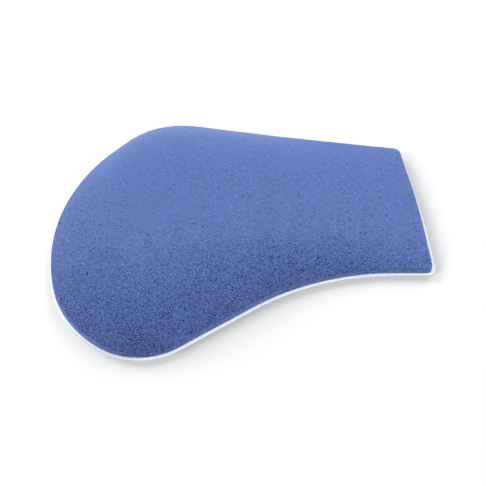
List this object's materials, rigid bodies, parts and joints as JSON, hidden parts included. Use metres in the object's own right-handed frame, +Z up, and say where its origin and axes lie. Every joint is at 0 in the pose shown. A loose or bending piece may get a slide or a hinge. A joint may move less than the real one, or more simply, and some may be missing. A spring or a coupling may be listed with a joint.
{
  "type": "metatarsal pad",
  "caption": "Low domed blue foam pad with a wide rounded toe end, a waist on one side and a narrow squared heel, on a thin white adhesive backing; it lifts the ball of the foot in a shoe.",
  "frame": {"origin": "on the surface that the pad lies on, under the middle of the backing sheet's outline", "axes": "+X towards the narrow squared heel end, -X towards the toes, -Y towards the waisted side, +Z up through the dome"},
  "size_m": [0.0706, 0.0552, 0.0091],
  "materials": {
    "foam": "matt blue foam with fine open pores",
    "backing": "smooth white film, slightly satin"
  },
  "bodies": {
    "root": {"foam_dome": "foam", "backing_sheet": "backing"}
  },
  "joints": []
}
